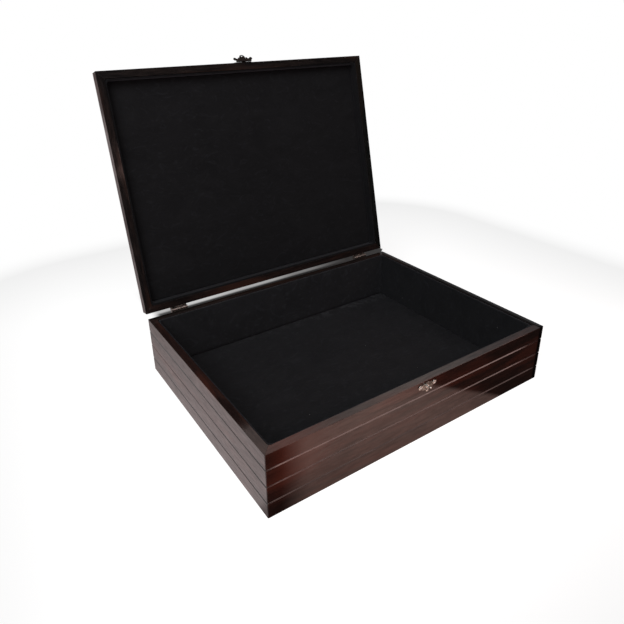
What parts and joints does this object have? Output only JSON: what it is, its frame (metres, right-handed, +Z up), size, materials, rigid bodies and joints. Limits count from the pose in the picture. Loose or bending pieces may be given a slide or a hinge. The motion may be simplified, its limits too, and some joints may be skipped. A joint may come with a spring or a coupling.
{
  "type": "presentation box",
  "caption": "Open wooden presentation box with a grooved base, a hinged lid, a flat velvet lining and a small swinging clasp.",
  "frame": {"origin": "centre of the base's underside, on the surface that it stands on", "axes": "+X to the right seen from the front, +Y from the clasp to the hinges, +Z up"},
  "size_m": [0.443, 0.4438, 0.4289],
  "materials": {
    "mahogany": "dark reddish brown wood under gloss lacquer",
    "velvet": "black short-pile velvet",
    "bronze": "antique, darkened"
  },
  "bodies": {
    "base": {"base_front_wall": "mahogany", "base_rear_wall": "mahogany", "base_left_wall": "mahogany", "base_right_wall": "mahogany", "bottom_board": "mahogany", "base_floor_lining": "velvet", "base_front_lining": "velvet", "base_rear_lining": "velvet", "base_left_lining": "velvet", "base_right_lining": "velvet", "base_hinge_leaf_left": "bronze", "base_hinge_leaf_right": "bronze", "hinge_pin_left": "bronze", "hinge_pin_right": "bronze", "base_hinge_screws": "bronze", "catch_plate": "bronze", "catch_pin": "bronze", "catch_plate_nails": "bronze"},
    "lid": {"lid_front_rail": "mahogany", "lid_rear_rail": "mahogany", "lid_left_rail": "mahogany", "lid_right_rail": "mahogany", "lid_top_panel": "mahogany", "lid_top_lining": "velvet", "lid_front_lining": "velvet", "lid_rear_lining": "velvet", "lid_left_lining": "velvet", "lid_right_lining": "velvet", "lid_hinge_leaf_left": "bronze", "lid_hinge_leaf_right": "bronze", "lid_hinge_screws": "bronze", "hasp_plate": "bronze", "hasp_plate_nails": "bronze", "hasp_pin": "bronze"},
    "hasp": {"hasp": "bronze"}
  },
  "joints": [
    {"name": "lid_hinge", "type": "hinge", "parent": "base", "child": "lid", "pos_m": [0, 0.1737, 0.0845], "axis": [1, 0, 0], "range_deg": [0, 102.7]},
    {"name": "hasp_hinge", "type": "hinge", "parent": "lid", "child": "hasp", "pos_m": [0, 0.24994, 0.42097], "axis": [1, 0, 0], "range_deg": [-48, 125]}
  ]
}
